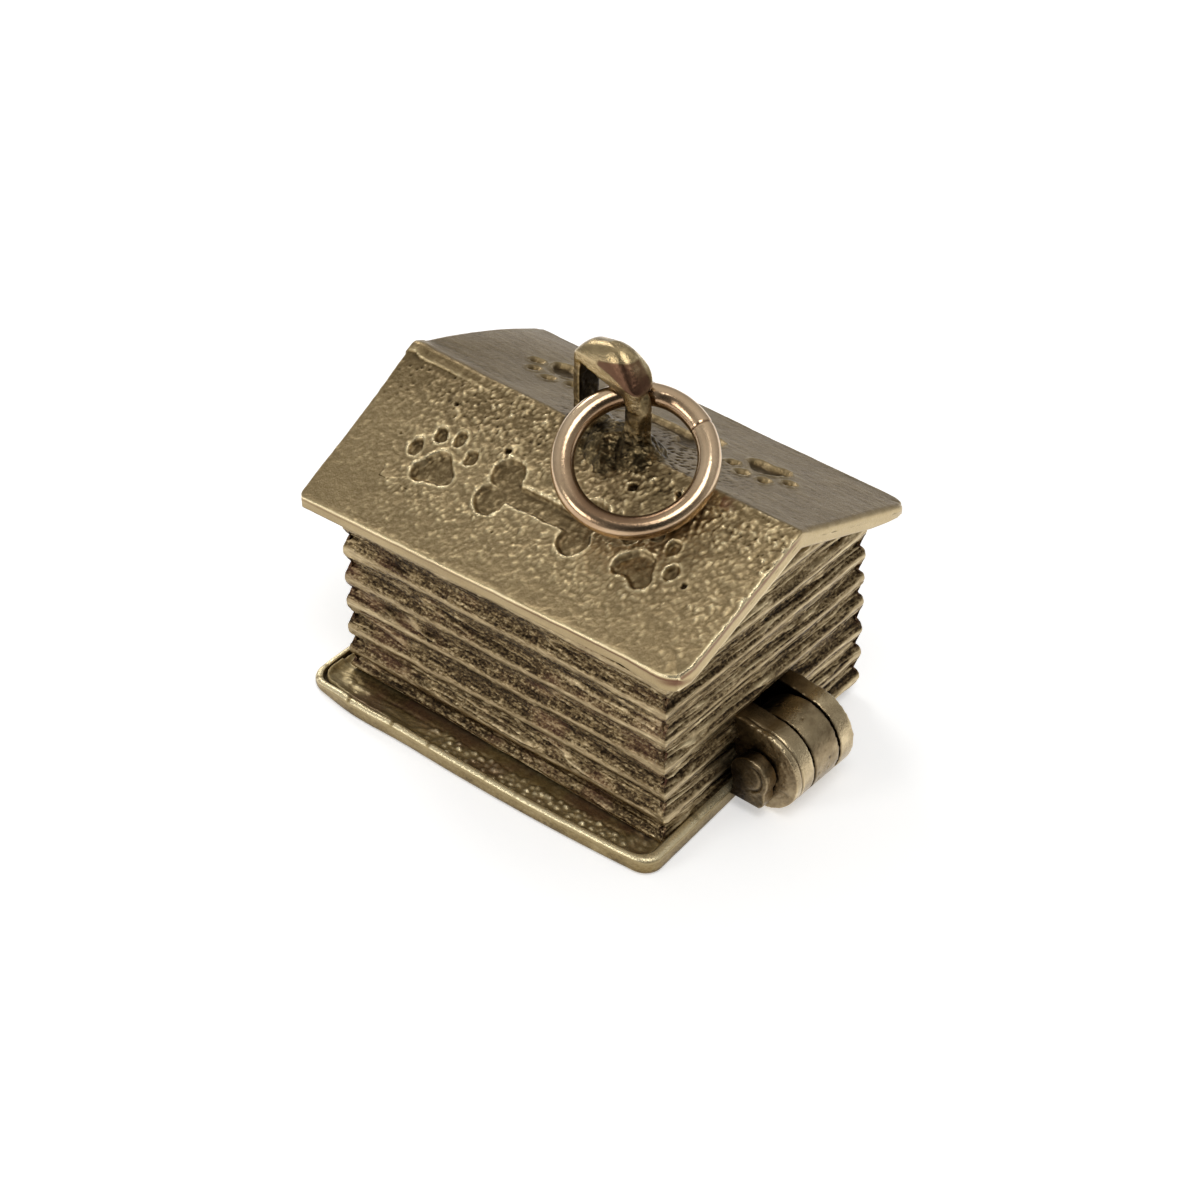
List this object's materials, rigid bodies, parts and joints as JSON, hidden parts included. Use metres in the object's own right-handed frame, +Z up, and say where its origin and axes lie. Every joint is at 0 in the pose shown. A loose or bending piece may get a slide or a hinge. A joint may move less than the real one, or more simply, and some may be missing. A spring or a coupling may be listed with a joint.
{
  "type": "opening charm",
  "caption": "Small gold charm in the form of a gable-roofed kennel with boarded walls, hinged along one end of a shallow base tray, with a cast bail and a round jump ring.",
  "frame": {"origin": "middle of the base tray's underside, below the ridge line", "axes": "+X along the ridge towards the hinge, +Y across the house, +Z up from the surface it stands on"},
  "size_m": [0.0175, 0.0128, 0.0139],
  "materials": {
    "aged_gold": "cast, toned, polished on the raised lines",
    "tray_gold": "cast, polished rim, rough floor",
    "pin_gold": "drawn wire",
    "rose_gold": "polished wire"
  },
  "bodies": {
    "base": {"base_tray": "tray_gold", "hinge_pin": "pin_gold"},
    "house": {"kennel_shell": "aged_gold", "jump_ring": "rose_gold"}
  },
  "joints": [
    {"name": "house_hinge", "type": "hinge", "parent": "base", "child": "house", "pos_m": [0.00791, 0, 0.00156], "axis": [0, 1, 0], "range_deg": [0, 95]}
  ]
}
